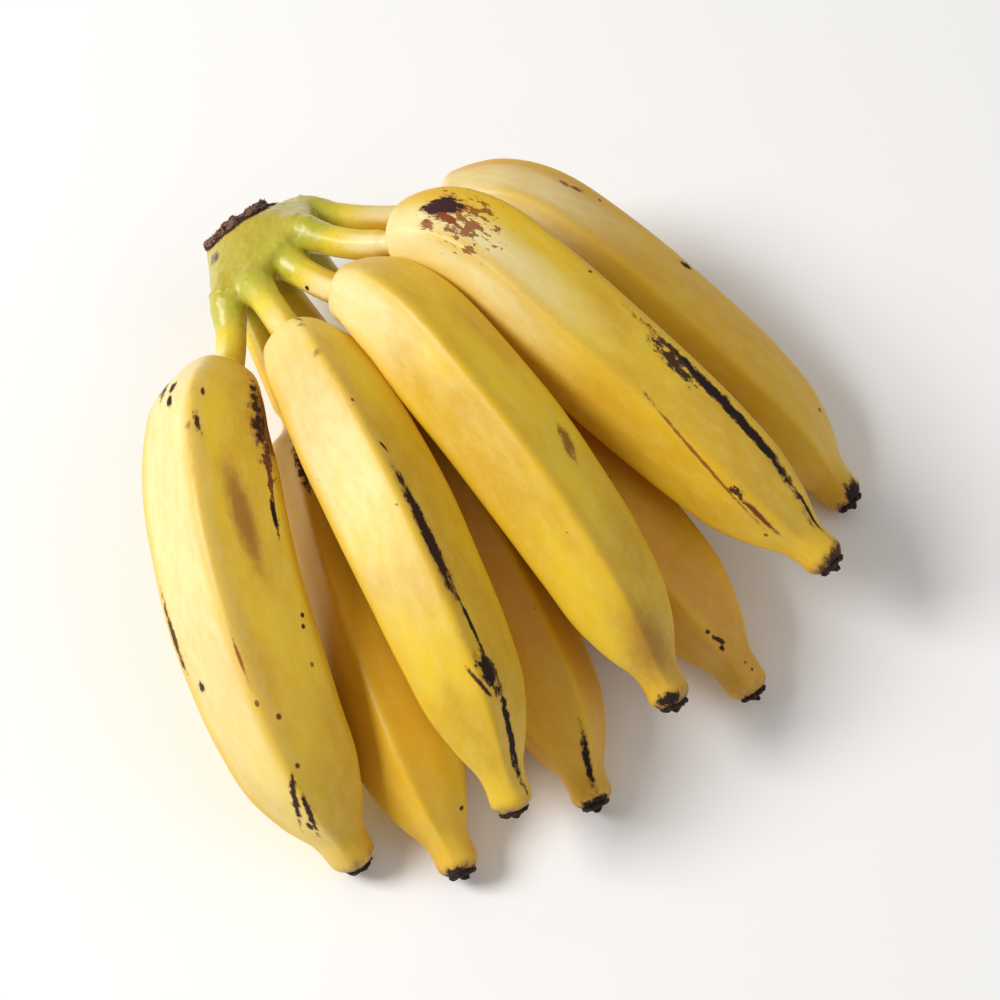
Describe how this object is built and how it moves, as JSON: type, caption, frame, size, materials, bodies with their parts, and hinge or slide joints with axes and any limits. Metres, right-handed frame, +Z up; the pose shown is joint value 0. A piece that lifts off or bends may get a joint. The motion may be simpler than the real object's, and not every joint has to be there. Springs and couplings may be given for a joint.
{
  "type": "bunch of bananas",
  "caption": "Bunch of ripe bananas lying on a surface: curved, angular fruit fanned in an upper and a lower row from one cut crown.",
  "frame": {"origin": "centre of the bounding box on the surface that the bunch lies on", "axes": "+Z up; the blossom ends point to -Y and the crown is at +Y"},
  "size_m": [0.2116, 0.2154, 0.0835],
  "materials": {
    "banana_skin": "satin waxy yellow skin with brown streaks",
    "crown_skin": "satin yellow-green skin, dry brown cut end",
    "dry_blossom": "matt, dry, near black"
  },
  "bodies": {
    "root": {"crown": "crown_skin", "upper_banana_1": "banana_skin", "upper_banana_2": "banana_skin", "upper_banana_3": "banana_skin", "upper_banana_4": "banana_skin", "lower_banana_1": "banana_skin", "lower_banana_2": "banana_skin", "lower_banana_3": "banana_skin", "lower_banana_4": "banana_skin", "upper_blossom_end_1": "dry_blossom", "upper_blossom_end_2": "dry_blossom", "upper_blossom_end_3": "dry_blossom", "upper_blossom_end_4": "dry_blossom", "lower_blossom_end_1": "dry_blossom", "lower_blossom_end_2": "dry_blossom", "lower_blossom_end_3": "dry_blossom", "lower_blossom_end_4": "dry_blossom"}
  },
  "joints": []
}
